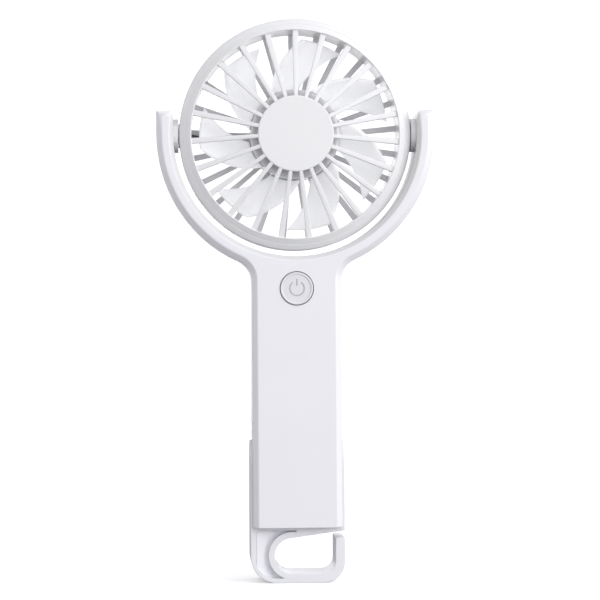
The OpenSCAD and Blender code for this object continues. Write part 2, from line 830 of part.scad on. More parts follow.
handle_front_shell();
handle_rear_shell();
friction_washers();
shell_screws();
control_board();
board_parts();
board_screws();
switch_body();
status_leds();
usb_socket();
battery_cell();
cell_tabs();
cell_leads();
foam_pad();
arm_lead();
power_button();
switch_plunger();
front_guard();
rear_guard();
left_pivot();
right_pivot();
bearing_tube();
sleeve_bearing();
thrust_pad();
stator_core();
stator_windings();
motor_board();
head_lead();
impeller();
rotor_bell();
magnet_ring();
motor_shaft();
shaft_clip();
stand_bracket();
stand_pins();
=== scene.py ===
import json
import math

import bmesh
import bpy
from mathutils import Matrix, Vector


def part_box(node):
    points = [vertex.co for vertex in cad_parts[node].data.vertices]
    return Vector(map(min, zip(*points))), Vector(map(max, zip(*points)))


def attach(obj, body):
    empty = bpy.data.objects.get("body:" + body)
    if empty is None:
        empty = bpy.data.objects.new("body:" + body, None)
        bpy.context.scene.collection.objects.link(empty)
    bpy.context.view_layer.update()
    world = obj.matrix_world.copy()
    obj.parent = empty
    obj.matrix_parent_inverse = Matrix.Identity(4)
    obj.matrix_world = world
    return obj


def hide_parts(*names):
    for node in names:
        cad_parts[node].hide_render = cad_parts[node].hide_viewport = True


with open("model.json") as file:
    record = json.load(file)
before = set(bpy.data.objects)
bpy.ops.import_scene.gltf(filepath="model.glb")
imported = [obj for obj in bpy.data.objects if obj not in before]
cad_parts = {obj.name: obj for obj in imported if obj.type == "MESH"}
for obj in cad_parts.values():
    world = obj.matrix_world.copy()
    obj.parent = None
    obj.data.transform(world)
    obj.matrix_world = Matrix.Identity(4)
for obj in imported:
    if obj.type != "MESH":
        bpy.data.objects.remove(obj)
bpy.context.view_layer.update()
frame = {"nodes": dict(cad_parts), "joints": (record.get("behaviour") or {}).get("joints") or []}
joints = {joint["name"]: joint for joint in frame["joints"]}
tiltPoint = Vector(joints["head_tilt"]["pos_m"])
mm = 0.001


class Wire:
    # a shader socket: arithmetic on it adds the Math nodes

    def __init__(self, paint, socket):
        self.paint = paint
        self.socket = socket

    def calc(self, operation, first, second):
        return self.paint.add("ShaderNodeMath", {"operation": operation}, {0: first, 1: second})

    def __add__(self, other):
        return self.calc("ADD", self, other)

    def __radd__(self, other):
        return self.calc("ADD", other, self)

    def __sub__(self, other):
        return self.calc("SUBTRACT", self, other)

    def __rsub__(self, other):
        return self.calc("SUBTRACT", other, self)

    def __mul__(self, other):
        return self.calc("MULTIPLY", self, other)

    def __rmul__(self, other):
        return self.calc("MULTIPLY", other, self)

    def __gt__(self, other):
        return self.calc("GREATER_THAN", self, other)

    def __lt__(self, other):
        return self.calc("LESS_THAN", self, other)


class NodeMaker:
    # adds nodes to one tree by name

    def __init__(self, tree):
        self.tree = tree

    def plug(self, socket, value):
        if isinstance(value, Wire):
            self.tree.links.new(value.socket, socket)
        else:
            socket.default_value = value

    def add(self, kind, settings=None, sockets=None, out=0):
        node = self.tree.nodes.new(kind)
        for key, value in (settings or {}).items():
            setattr(node, key, value)
        for key, value in (sockets or {}).items():
            self.plug(node.inputs[key], value)
        return Wire(self, node.outputs[out])


class Paint(NodeMaker):
    # one material round a principled shader

    def __init__(self, name):
        self.material = bpy.data.materials.new(name)
        self.material.use_nodes = True
        super().__init__(self.material.node_tree)
        self.shader = self.tree.nodes["Principled BSDF"]
        self.place = self.add("ShaderNodeTexCoord", out="Object")

    def axis(self, letter):
        return self.add("ShaderNodeSeparateXYZ", None, {0: self.place}, letter)

    def noise(self, scale, detail=3.0, rough=0.5, stretch=(1, 1, 1)):
        spread = self.add("ShaderNodeVectorMath", {"operation": "MULTIPLY"}, {0: self.place, 1: stretch})
        return self.add("ShaderNodeTexNoise", None,
                        {"Vector": spread, "Scale": scale, "Detail": detail, "Roughness": rough})

    def blendColour(self, factor, first, second):
        return self.add("ShaderNodeMix", {"data_type": "RGBA"},
                        {"Factor": factor, 6: first, 7: second}, 2)

    def bump(self, height, strength, distance):
        normal = self.add("ShaderNodeBump", None,
                          {"Height": height, "Strength": strength, "Distance": distance})
        self.plug(self.shader.inputs["Normal"], normal)

    def set(self, **sockets):
        for name, value in sockets.items():
            self.plug(self.shader.inputs[name.replace("_", " ")], value)
        return self


def rgb(red, green, blue):
    return (red, green, blue, 1.0)


def clouded(paint, s):
    # the plastic's colour, wandering slowly between its two tones
    return paint.blendColour(paint.noise(s["cloudScale"], 2.0), s["light"], s["shade"])


def plasticPaint(name, s):
    # moulded plastic: faint flow clouding, fine satin grain, a slow ripple that breaks up highlights
    paint = Paint(name)
    cloud = paint.noise(s["cloudScale"], 2.0)
    grain = paint.noise(s["grainScale"], 4.0, 0.6)
    ripple = paint.noise(s["rippleScale"], 1.0)
    paint.set(Base_Color=clouded(paint, s),
              Roughness=s["roughness"] + (grain - 0.5) * s["roughSpread"]
              + (cloud - 0.5) * s["roughSpread"])
    paint.bump(grain * s["grainHeight"] + ripple * s["rippleHeight"], 0.6, 0.00006)
    paint.shader.inputs["IOR"].default_value = 1.49
    paint.shader.inputs["Subsurface Weight"].default_value = s["glow"]
    paint.shader.inputs["Subsurface Radius"].default_value = (1.0, 0.9, 0.85)
    paint.shader.inputs["Subsurface Scale"].default_value = s["glowDepth"]
    return paint


whitePlastic = {
    "light": rgb(0.815, 0.813, 0.845),
    "shade": rgb(0.79, 0.788, 0.822),
    "cloudScale": 45.0,
    "grainScale": 5200.0,
    "rippleScale": 260.0,
    "roughness": 0.34,
    "roughSpread": 0.10,
    "grainHeight": 0.7,
    "rippleHeight": 0.5,
    "glow": 0.12,
    "glowDepth": 0.0006,
}

plasticFinishes = {
    "guard": {"light": rgb(0.81, 0.81, 0.82), "shade": rgb(0.78, 0.78, 0.795), "roughness": 0.30},
    # the rear guard's plastic is set greyer than the front guard's: painted shade, for the shadow its ribs
    # sit in behind the impeller
    "rearGuard": {"light": rgb(0.75, 0.75, 0.76), "shade": rgb(0.72, 0.72, 0.73), "roughness": 0.32},
    "stand": {"roughness": 0.36, "grainScale": 4300.0},
    # the washers' plastic is set lighter than the shell's: painted light, brightening them where they sit in
    # shade
    "washer": {"light": rgb(0.88, 0.88, 0.89), "shade": rgb(0.85, 0.85, 0.86), "roughness": 0.45},
    "nylon": {"light": rgb(0.82, 0.79, 0.68), "shade": rgb(0.76, 0.73, 0.62), "roughness": 0.5},
}


def squaredReach(paint):
    # the square of the distance from the motor's axis
    across, height = paint.axis("X"), paint.axis("Z") - tiltPoint.z
    return across * across + height * height


def shellPaint(name, s, paintedShadeRadius, paintedShadeTone):
    # the yoke's inner band, facing the head, is painted a darker grey: painted shade for the head's shadow
    # there
    paint = plasticPaint(name, s)
    inPaintedShade = squaredReach(paint) < paintedShadeRadius * paintedShadeRadius
    paint.set(Base_Color=paint.blendColour(inPaintedShade, clouded(paint, s), paintedShadeTone))
    return paint


# the blade plastic carries a faint emission, painted light, and a darker grey for the hub, painted shade
bladeFinish = {**whitePlastic, "light": rgb(0.92, 0.92, 0.94), "shade": rgb(0.89, 0.89, 0.91),
               "roughness": 0.24, "glow": 1.0, "glowDepth": 0.003, "paintedGlowStrength": 0.22,
               "paintedHubShade": rgb(0.70, 0.70, 0.71)}


def bladePaint(name, s, hubRadius):
    # the blades glow faintly, painted light for light passing through them; the hub is painted a darker grey,
    # painted shade
    paint = plasticPaint(name, s)
    beyondHub = squaredReach(paint) > hubRadius * hubRadius
    # the hub's darker grey is painted shade, for the shadow the front disc casts on it
    paint.set(Base_Color=paint.blendColour(beyondHub, s["paintedHubShade"], clouded(paint, s)),
              # the emission is painted light: the blades glow, though no lamp is in them
              Emission_Color=paint.blendColour(beyondHub, rgb(0.0, 0.0, 0.0), s["light"]),
              Emission_Strength=s["paintedGlowStrength"])
    return paint


def buttonPaint(name, s, dishY):
    # the same plastic, with the power mark's groove filled in grey
    paint = plasticPaint(name, s)
    groove = paint.axis("Y") > dishY
    mark = clouded(paint, {**s, "light": rgb(0.50, 0.50, 0.52), "shade": rgb(0.55, 0.55, 0.57)})
    paint.set(Base_Color=paint.blendColour(groove, clouded(paint, s), mark))
    return paint


def metalPaint(name, s):
    # drawn or plated metal: fine scratches along one way, mottled tone
    paint = Paint(name)
    scratch = paint.noise(s["scratchScale"], 5.0, 0.65, s["stretch"])
    mottle = paint.noise(s["mottleScale"], 3.0)
    paint.set(Base_Color=paint.blendColour(mottle, s["light"], s["dark"]),
              Roughness=s["roughness"] + (scratch - 0.5) * 0.25 + (mottle - 0.5) * 0.12)
    paint.bump(scratch, 0.4, 0.00002)
    paint.shader.inputs["Metallic"].default_value = 1.0
    return paint


metals = {
    "zinc": {"light": rgb(0.66, 0.67, 0.69), "dark": rgb(0.50, 0.51, 0.54), "roughness": 0.32},
    "drawn": {"light": rgb(0.72, 0.72, 0.73), "dark": rgb(0.60, 0.60, 0.62), "roughness": 0.26},
    "nickel": {"light": rgb(0.68, 0.65, 0.60), "dark": rgb(0.56, 0.54, 0.50), "roughness": 0.35},
    "brass": {"light": rgb(0.80, 0.62, 0.30), "dark": rgb(0.62, 0.45, 0.18), "roughness": 0.30},
    "bronze": {"light": rgb(0.60, 0.40, 0.22), "dark": rgb(0.38, 0.24, 0.12), "roughness": 0.55},
    "magnet": {"light": rgb(0.16, 0.16, 0.17), "dark": rgb(0.08, 0.08, 0.09), "roughness": 0.6},
}
metalBase = {"scratchScale": 2600.0, "mottleScale": 380.0, "stretch": (1, 12, 1)}


def layeredPaint(name, s):
    # stacked sheets or wound wire: even lines across one axis, darker between them
    paint = Paint(name)
    along = paint.axis(s["axis"]) * s["linesPerMetre"]
    wave = paint.add("ShaderNodeMath", {"operation": "PINGPONG"}, {0: along, 1: 0.5}) * 2.0
    stain = paint.noise(900.0, 3.0)
    tone = wave * 0.7 + stain * 0.3
    paint.set(Base_Color=paint.blendColour(tone, s["dark"], s["light"]), Roughness=0.55 - wave * 0.2)
    paint.bump(wave, 0.7, 0.00005)
    paint.shader.inputs["Metallic"].default_value = s["metallic"]
    return paint


layered = {
    "core": {"axis": "Y", "linesPerMetre": 2800.0, "metallic": 0.9,
             "light": rgb(0.42, 0.43, 0.46), "dark": rgb(0.12, 0.12, 0.13)},
    "winding": {"axis": "Y", "linesPerMetre": 3600.0, "metallic": 0.8,
                "light": rgb(0.78, 0.36, 0.16), "dark": rgb(0.30, 0.10, 0.04)},
}


def boardPaint(name):
    # solder mask with copper tracks showing through and small tinned pads
    paint = Paint(name)
    track = paint.add("ShaderNodeTexBrick", {"offset": 0.37, "squash": 1.4},
                      {"Vector": paint.place, "Scale": 420.0, "Mortar Size": 0.09, "Mortar Smooth": 0.1},
                      "Fac")
    cell = paint.add("ShaderNodeTexVoronoi", {"feature": "F1"},
                     {"Vector": paint.place, "Scale": 520.0}, "Distance")
    pad = cell < 0.16
    grain = paint.noise(3000.0, 3.0)
    mask = paint.blendColour(grain, rgb(0.012, 0.16, 0.07), rgb(0.02, 0.20, 0.09))
    tracked = paint.blendColour(track, mask, rgb(0.05, 0.30, 0.13))
    paint.set(Base_Color=paint.blendColour(pad, tracked, rgb(0.62, 0.60, 0.55)),
              Roughness=0.35 + grain * 0.15)
    paint.bump(track * 0.6 + pad, 0.5, 0.00004)
    return paint


def resinPaint(name, s):
    # moulded resin or rubber: speckled, with a dull fine grain
    paint = Paint(name)
    grain = paint.noise(s["grainScale"], 5.0, 0.7)
    speck = paint.add("ShaderNodeTexVoronoi", {"feature": "F1"},
                      {"Vector": paint.place, "Scale": s["speckScale"]}, "Distance")
    paint.set(Base_Color=paint.blendColour(grain, s["dark"], s["light"]),
              Roughness=s["roughness"] + (grain - 0.5) * 0.2)
    paint.bump(grain * 0.7 + speck * s["pits"], 0.6, s["depth"])
    return paint


resins = {
    "chip": {"dark": rgb(0.02, 0.02, 0.022), "light": rgb(0.05, 0.05, 0.055), "roughness": 0.55,
             "grainScale": 4200.0, "speckScale": 2500.0, "pits": 0.2, "depth": 0.00003},
    "insulation": {"dark": rgb(0.03, 0.03, 0.032), "light": rgb(0.06, 0.06, 0.065), "roughness": 0.42,
                   "grainScale": 2500.0, "speckScale": 1500.0, "pits": 0.1, "depth": 0.00003},
    "foam": {"dark": rgb(0.09, 0.09, 0.095), "light": rgb(0.17, 0.17, 0.18), "roughness": 0.95,
             "grainScale": 1800.0, "speckScale": 1400.0, "pits": 1.6, "depth": 0.0002},
    "led": {"dark": rgb(0.80, 0.74, 0.42), "light": rgb(0.90, 0.88, 0.72), "roughness": 0.15,
            "grainScale": 1500.0, "speckScale": 900.0, "pits": 0.1, "depth": 0.00002},
}


def cellPaint(name, lowZ, highZ):
    # shrink sleeve over a metal can: sleeve ends short of the rim, faint shrink wrinkles round it
    paint = Paint(name)
    height = paint.axis("Z")
    sleeve = (height > lowZ) * (height < highZ)
    wrinkle = paint.noise(420.0, 2.0, 0.5, (1, 1, 0.25))
    can = paint.blendColour(wrinkle, rgb(0.62, 0.62, 0.63), rgb(0.72, 0.72, 0.73))
    film = paint.blendColour(wrinkle, rgb(0.03, 0.25, 0.18), rgb(0.05, 0.31, 0.22))
    paint.set(Base_Color=paint.blendColour(sleeve, can, film), Metallic=1.0 - sleeve,
              Roughness=0.30 + wrinkle * 0.15)
    paint.bump(wrinkle, 0.5, 0.00008)
    return paint


def tidyMesh(bm, name, smoothAngle=32):
    bmesh.ops.recalc_face_normals(bm, faces=bm.faces)
    mesh = bpy.data.meshes.new(name)
    bm.to_mesh(mesh)
    bm.free()
    mesh.shade_smooth()
    mesh.set_sharp_from_angle(angle=math.radians(smoothAngle))
    return mesh


def addPiece(name, mesh, paint, body, slotName, *nodes):
    piece = bpy.data.objects.new(name, mesh)
    bpy.context.scene.collection.objects.link(piece)
    mesh.materials.append(paint.material)
    even = piece.modifiers.new("evenNormals", "WEIGHTED_NORMAL")
    even.keep_sharp = True
    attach(piece, body)
    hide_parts(*nodes)
    return piece


def arcPoints(centre, radius, start, stop, steps):
    turns = [math.radians(start + (stop - start) * i / steps) for i in range(steps + 1)]
    return [(centre[0] + radius * math.cos(t), centre[1] + radius * math.sin(t)) for t in turns]


def spinRound(bm, outline, steps, closed=True):
    # outline is radius and distance in front of the tilt axis; it turns about the head's own axis
    verts = [bm.verts.new((r, -h, tiltPoint.z)) for r, h in outline]
    pairs = list(zip(verts, verts[1:])) + ([(verts[-1], verts[0])] if closed else [])
    edges = [bm.edges.new(pair) for pair in pairs]
    bmesh.ops.spin(bm, geom=verts + edges, cent=(0, 0, tiltPoint.z), axis=(0, 1, 0),
                   angle=2 * math.pi, steps=steps, use_merge=True)
    bmesh.ops.remove_doubles(bm, verts=bm.verts, dist=1e-6)


def turnClockwise(bm, verts, degrees):
    # clockwise as the blowing side is faced
    bmesh.ops.rotate(bm, verts=verts, cent=(0, 0, tiltPoint.z),
                     matrix=Matrix.Rotation(math.radians(degrees), 3, "Y"))


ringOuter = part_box("front_guard")[1].x
headHalf = -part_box("front_guard")[0].y

guard = {
    "openRadius": 35.1 * mm,
    "faceSlope": 38,
    "shoulder": 1.2 * mm,
    "grooveRadius": 37.25 * mm,
    "grooveHalf": 0.16 * mm,
    "grooveDepth": 0.16 * mm,
    "hollowTop": 6.2 * mm,
    "hollowDrop": 1.5 * mm,
    "halfDepth": 9.0 * mm,
    "skin": 1.4 * mm,
    "lipWall": 1.2 * mm,
    "partingBevel": 0.18 * mm,
    "innerRound": 0.3 * mm,
    "ribTop": 8.4 * mm,
    "ribLow": 5.8 * mm,
    "ribRootLow": 10.0 * mm,
    "ribRound": 0.32 * mm,
    "ribSink": 0.05 * mm,
    "ribTipIn": 0.5 * mm,
    "ribRootIn": 0.6 * mm,
    "steps": 160,
}
frontGuard = {"ribs": 23, "first": 0.4, "rootWidth": 1.3 * mm, "tipWidth": 2.0 * mm,
              "discRadius": 12.8 * mm, "discThick": 1.4 * mm, "discRound": 0.45 * mm}
rearGuard = {"ribs": 25, "first": 13.4, "rootWidth": 1.5 * mm, "tipWidth": 2.0 * mm,
             "seatRadius": 15.2 * mm, "seatThick": 1.4 * mm, "seatRound": 1.0 * mm,
             "rimWall": 1.2 * mm, "rimFront": 6.0 * mm, "strutWidth": 3.4 * mm, "strutTurn": 270.0,
             "wireGroove": 1.6 * mm, "grooveFloor": 7.0 * mm, "grooveLap": 0.2 * mm,
             "posts": 3, "firstPost": 30, "postRadius": 0.9 * mm, "postPlace": 9.0 * mm,
             "postLength": 5.4 * mm}


def ringOutline(s):
    # sloping front face with a fine groove in it, a rounded outer shoulder and a hollow behind
    start, slope = s["openRadius"] + s["innerRound"], math.tan(math.radians(s["faceSlope"]))

    def onFace(radius, sink=0.0):
        return (radius, s["halfDepth"] - (radius - start) * slope - sink)

    flare, shoulder = s["partingBevel"], s["shoulder"]
    turn = 90 - s["faceSlope"]
    faceEnd = onFace(ringOuter - shoulder * (1 - math.cos(math.radians(turn))))[1]
    middle = (ringOuter - shoulder, faceEnd - shoulder * math.sin(math.radians(turn)))
    groove, half = s["grooveRadius"], s["grooveHalf"]
    inner = arcPoints((start, s["halfDepth"] - s["innerRound"]), s["innerRound"], 90, 180, 3)
    hollow = [(s["openRadius"], 0), (s["openRadius"] + s["lipWall"], 0),
              (s["openRadius"] + s["lipWall"], s["hollowTop"]),
              (ringOuter - s["skin"], s["hollowTop"] - s["hollowDrop"]), (ringOuter - s["skin"], 0)]
    return (hollow + [(ringOuter - flare, 0), (ringOuter, flare)] + arcPoints(middle, shoulder, 0, turn, 5)
            + [onFace(groove + half), onFace(groove, s["grooveDepth"]), onFace(groove - half)] + inner)


def addRib(bm, s, root, rootWidth, tipWidth, degrees, aside=0.0):
    # one tapering rib from the centre plate out into the ring, its long edges rounded
    made = bmesh.ops.create_cube(bm, size=1.0)
    tip = s["openRadius"] + s["ribTipIn"]
    for vert in made["verts"]:
        outward = vert.co.z > 0
        ahead = vert.co.y < 0
        width = tipWidth if outward else rootWidth
        reach = tip if outward else root
        if outward:
            depth = s["ribTop"] if ahead else s["ribLow"]
        else:
            depth = headHalf - s["ribSink"] if ahead else s["ribRootLow"]
        vert.co = Vector((math.copysign(width / 2, vert.co.x) + aside, -depth, tiltPoint.z + reach))
    edges = dict.fromkeys(edge for vert in made["verts"] for edge in vert.link_edges)
    lengthwise = [edge for edge in edges if abs(edge.verts[0].co.z - edge.verts[1].co.z) > 5 * mm]
    rounded = bmesh.ops.bevel(bm, geom=lengthwise, offset=s["ribRound"], offset_type="OFFSET", segments=2,
                              profile=0.5, affect="EDGES", material=-1)
    verts = {vert for vert in made["verts"] if vert.is_valid} | set(rounded["verts"])
    turnClockwise(bm, list(verts), degrees)


def makeFrontGuard(paint):
    bm = bmesh.new()
    spinRound(bm, ringOutline(guard), guard["steps"])
    s = frontGuard
    edge = arcPoints((s["discRadius"] - s["discRound"], headHalf - s["discRound"]), s["discRound"], 90, 0, 4)
    spinRound(bm, [(0, headHalf)] + edge
              + [(s["discRadius"], headHalf - s["discThick"]), (0, headHalf - s["discThick"])],
              guard["steps"], closed=False)
    for i in range(s["ribs"]):
        addRib(bm, guard, s["discRadius"] - guard["ribRootIn"], s["rootWidth"], s["tipWidth"],
               s["first"] + i * 360 / s["ribs"])
    return addPiece("frontGuardShell", tidyMesh(bm, "frontGuardShell"), paint, "head", "guard_plastic",
                    "front_guard")


def makeRearGuard(paint):
    bm = bmesh.new()
    spinRound(bm, ringOutline(guard), guard["steps"])
    s = rearGuard
    seat = s["seatRadius"]
    edge = arcPoints((seat - s["seatRound"], headHalf - s["seatRound"]), s["seatRound"], 90, 0, 5)
    spinRound(bm, [(0, headHalf)] + edge
              + [(seat, s["rimFront"]), (seat - s["rimWall"], s["rimFront"]),
                 (seat - s["rimWall"], headHalf - s["seatThick"]), (0, headHalf - s["seatThick"])],
              guard["steps"], closed=False)
    root = seat - guard["ribRootIn"]
    for i in range(s["ribs"]):
        addRib(bm, guard, root, s["rootWidth"], s["tipWidth"], -s["first"] - i * 360 / s["ribs"])
    # the wire's strut: two walls and, between them, the floor of its groove
    wall = (s["strutWidth"] - s["wireGroove"]) / 2
    for side in (-1, 1):
        addRib(bm, guard, root, wall, wall, -s["strutTurn"], side * (s["strutWidth"] - wall) / 2)
    grooveSettings = {**guard, "ribLow": s["grooveFloor"], "ribRound": 0.05 * mm}
    floorWidth = s["wireGroove"] + s["grooveLap"]
    addRib(bm, grooveSettings, root, floorWidth, floorWidth, -s["strutTurn"])
    for i in range(s["posts"]):
        made = bmesh.ops.create_cone(bm, cap_ends=True, segments=20, radius1=s["postRadius"],
                                     radius2=s["postRadius"], depth=s["postLength"])
        bmesh.ops.rotate(bm, verts=made["verts"], matrix=Matrix.Rotation(math.radians(90), 3, "X"))
        middle = -(headHalf - s["seatThick"]) + s["postLength"] / 2
        bmesh.ops.translate(bm, verts=made["verts"], vec=(s["postPlace"], middle, tiltPoint.z))
        turnClockwise(bm, made["verts"], s["firstPost"] + i * 360 / s["posts"])
    # everything above is drawn facing the front; turned half round the upright it faces the back
    bmesh.ops.rotate(bm, verts=bm.verts, cent=(0, 0, tiltPoint.z), matrix=Matrix.Rotation(math.pi, 3, "Z"))
    return addPiece("rearGuardShell", tidyMesh(bm, "rearGuardShell"), paint, "head", "guard_plastic",
                    "rear_guard")


impeller = {
    "blades": 7,
    "first": -12.0,
    "hubRadius": 15.2 * mm,
    "tipRadius": 32.0 * mm,
    "hubFront": 8.0 * mm,
    "hubBack": -2.0 * mm,
    "hubRound": 1.3 * mm,
    "bellRadius": 12.9 * mm,
    "bellFront": 6.6 * mm,
    "middle": 1.9 * mm,
    "thick": 1.1 * mm,
    "sweep": 30.0,
    "rootIn": 0.4 * mm,
    "rootArc": 34,
    "arcLoss": 9,
    "rootRise": 8 * mm,
    "riseLoss": 2 * mm,
    "camber": 1.2 * mm,
    "forward": 0.7 * mm,
    "cells": (16, 12),
    "hubSteps": 96,
}


def bladePoint(s, reach, across):
    # reach runs 0 to 1 from hub to tip, across 0 to 1 from the trailing to the leading edge
    root, span = s["hubRadius"] - s["rootIn"], s["tipRadius"] - s["hubRadius"]
    radius = root + (span + s["rootIn"]) * reach
    share = (radius - s["hubRadius"]) / span
    turn = math.radians(s["sweep"] * share + (s["rootArc"] - s["arcLoss"] * share) * (across - 0.5))
    pitch = (s["rootRise"] - s["riseLoss"] * share) * (0.5 - across)
    rise = pitch - s["camber"] * math.sin(math.pi * across)
    return Vector((radius * math.sin(turn), -(s["middle"] + rise), tiltPoint.z + radius * math.cos(turn)))


def makeImpeller(paint):
    s = impeller
    bm = bmesh.new()
    edge = arcPoints((s["hubRadius"] - s["hubRound"], s["hubFront"] - s["hubRound"]), s["hubRound"], 90, 0, 6)
    spinRound(bm, [(0, s["hubFront"])] + edge
              + [(s["hubRadius"], s["hubBack"]), (s["bellRadius"], s["hubBack"]),
                 (s["bellRadius"], s["bellFront"]), (0, s["bellFront"])], s["hubSteps"], closed=False)
    for i in range(s["blades"]):
        made = bmesh.ops.create_grid(bm, x_segments=s["cells"][0], y_segments=s["cells"][1], size=0.5)
        for vert in made["verts"]:
            vert.co = bladePoint(s, vert.co.y + 0.5, vert.co.x + 0.5)
        faces = list({face for vert in made["verts"] for face in vert.link_faces})
        bmesh.ops.recalc_face_normals(bm, faces=faces)
        thick = bmesh.ops.solidify(bm, geom=faces, thickness=s["thick"])
        back = [item for item in thick["geom"] if isinstance(item, bmesh.types.BMVert)]
        verts = dict.fromkeys(list(made["verts"]) + back)
        centre = sum((vert.co for vert in verts), Vector()) / len(verts)
        target = bladePoint(s, 0.5, 0.5)
        bmesh.ops.translate(bm, verts=list(verts), vec=(0, target.y - centre.y - s["forward"], 0))
        turnClockwise(bm, list(verts), s["first"] + i * 360 / s["blades"])
    return addPiece("impellerWheel", tidyMesh(bm, "impellerWheel", 40), paint, "rotor", "impeller_plastic",
                    "impeller")


mergeGap = 2e-6
sameFace = 1e-5


def cadCopy(node):
    # the CAD node's own shape with its loose triangles merged back into flat faces
    bm = bmesh.new()
    bm.from_mesh(frame["nodes"][node].data)
    bmesh.ops.remove_doubles(bm, verts=bm.verts, dist=mergeGap)
    bmesh.ops.dissolve_limit(bm, angle_limit=math.radians(0.3), verts=bm.verts, edges=bm.edges)
    return bm


def cornerAngle(edge):
    return edge.calc_face_angle(0.0) if len(edge.link_faces) == 2 else 0.0


def roundEdges(bm, chosen, radius, segments, least=35):
    picked = [edge for edge in bm.edges if cornerAngle(edge) > math.radians(least) and chosen(edge)]
    bmesh.ops.bevel(bm, geom=picked, offset=radius, offset_type="OFFSET", segments=segments, profile=0.5,
                    affect="EDGES", clamp_overlap=False, material=-1)
    return len(picked)


shell = {"outerChamfer": 1.9 * mm, "innerChamfer": 1.4 * mm, "softening": 0.35 * mm, "leastRun": 25 * mm}
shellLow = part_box("handle_front_shell")[0]
yokeInner = abs(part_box("friction_washers")[0].x)


def longRuns(edges, least):
    # the connected runs that reach far up or down: outlines, and not the rims of holes
    waiting, kept = set(edges), set()
    while waiting:
        grow = [waiting.pop()]
        run = set(grow)
        while grow:
            linked = {other for vert in grow.pop().verts for other in vert.link_edges} & waiting
            waiting -= linked
            run |= linked
            grow += linked
        heights = [vert.co.z for edge in run for vert in edge.verts]
        if max(heights) - min(heights) > least:
            kept |= run
    return kept


def insideYoke(edge):
    return all(math.hypot(vert.co.x, vert.co.z - tiltPoint.z) < yokeInner + 0.5 * mm for vert in edge.verts)


def makeShell(name, node, faceY, paint):
    s = shell
    bm = cadCopy(node)
    bottom = shellLow.z + 1 * mm

    def onOutline(edge):
        ends = [vert.co for vert in edge.verts]
        return (all(abs(end.y - faceY) < sameFace for end in ends)
                and not all(end.z < bottom for end in ends)
                and any(abs(face.normal.y) < 0.1 for face in edge.link_faces))

    def chamfer(inYoke, width):
        outline = longRuns([edge for edge in bm.edges if onOutline(edge)], s["leastRun"])
        made = roundEdges(bm, lambda edge: edge in outline and inYoke == insideYoke(edge), width, 1)
        bmesh.ops.remove_doubles(bm, verts=bm.verts, dist=mergeGap)
        print(name, "edges chamfered:", made)

    # the two long creases that a chamfer leaves, on the flat face and on the side wall
    def chamferLine(edge):
        slopes = sorted(abs(face.normal.y) for face in edge.link_faces)
        return len(slopes) == 2 and (0.5 < slopes[0] < 0.9 < slopes[1] or slopes[0] < 0.3 < slopes[1] < 0.9)

    chamfer(True, s["innerChamfer"])
    chamfer(False, s["outerChamfer"])
    bm.normal_update()
    print(name, "creases softened:", roundEdges(bm, chamferLine, s["softening"], 3, 25))
    return addPiece(name, tidyMesh(bm, name), paint, "handle", "shell_plastic", node)


def makeBase(name, node, paint, body, slotName, chosen, radius, segments=3):
    bm = cadCopy(node)
    print(name, "edges rounded:", roundEdges(bm, chosen, radius, segments))
    return addPiece(name, tidyMesh(bm, name), paint, body, slotName, node)


plastics = {name: plasticPaint(name + "Plastic", {**whitePlastic, **change})
            for name, change in plasticFinishes.items()}
metalPaints = {name: metalPaint(name + "Metal", {**metalBase, **change}) for name, change in metals.items()}
layerPaints = {name: layeredPaint(name + "Stack", change) for name, change in layered.items()}
resinPaints = {name: resinPaint(name + "Resin", change) for name, change in resins.items()}
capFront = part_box("power_button")[0].y
buttonPlastic = {**whitePlastic, "light": rgb(0.745, 0.743, 0.775), "shade": rgb(0.72, 0.718, 0.752)}
buttonFinish = buttonPaint("buttonPlastic", buttonPlastic, capFront + 0.36 * mm)
cellLow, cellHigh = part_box("battery_cell")
cellFinish = cellPaint("cellSleeve", cellLow.z + 0.3 * mm, cellHigh.z - 1.1 * mm)
boardFinish = boardPaint("boardLaminate")
print("materials ready")

nodePaints = {
    "friction_washers": plastics["washer"], "shell_screws": metalPaints["zinc"],
    "control_board": boardFinish, "board_parts": resinPaints["chip"], "board_screws": metalPaints["zinc"],
    "switch_body": resinPaints["chip"], "status_leds": resinPaints["led"], "usb_socket": metalPaints["drawn"],
    "battery_cell": cellFinish, "cell_tabs": metalPaints["nickel"], "cell_leads": resinPaints["insulation"],
    "foam_pad": resinPaints["foam"], "arm_lead": resinPaints["insulation"],
    "switch_plunger": resinPaints["chip"], "left_pivot": plastics["guard"], "right_pivot": plastics["guard"],
    "bearing_tube": metalPaints["brass"], "sleeve_bearing": metalPaints["bronze"],
    "thrust_pad": plastics["nylon"], "stator_core": layerPaints["core"],
    "stator_windings": layerPaints["winding"], "motor_board": boardFinish,
    "head_lead": resinPaints["insulation"], "rotor_bell": metalPaints["drawn"],
    "magnet_ring": metalPaints["magnet"], "motor_shaft": metalPaints["zinc"],
    "shaft_clip": metalPaints["zinc"], "stand_pins": metalPaints["zinc"],
}
for node, paint in nodePaints.items():
    slots = frame["nodes"][node].data.materials
    slots.clear()
    slots.append(paint.material)

makeFrontGuard(plastics["guard"])
# the rear guard's greyer plastic is painted shade
makeRearGuard(plastics["rearGuard"])
makeImpeller(bladePaint("bladePlastic", bladeFinish, impeller["hubRadius"] + 0.4 * mm))
print("head ready")
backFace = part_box("handle_rear_shell")[1].y
# the darker grey given here for the yoke's inner band is painted shade
shellFinish = shellPaint("shellPlastic", whitePlastic, yokeInner + 1.3 * mm, rgb(0.68, 0.68, 0.69))
makeShell("frontShell", "handle_front_shell", -backFace, shellFinish)
makeShell("rearShell", "handle_rear_shell", backFace, shellFinish)
print("shells ready")
makeBase("powerButton", "power_button", buttonFinish, "button", "button_plastic",
         lambda edge: all(abs(vert.co.y - capFront) < sameFace for vert in edge.verts), 0.2 * mm)
makeBase("standBracket", "stand_bracket", plastics["stand"], "stand", "stand_plastic",
         lambda edge: True, 0.3 * mm, 2)
print("handle pieces ready")

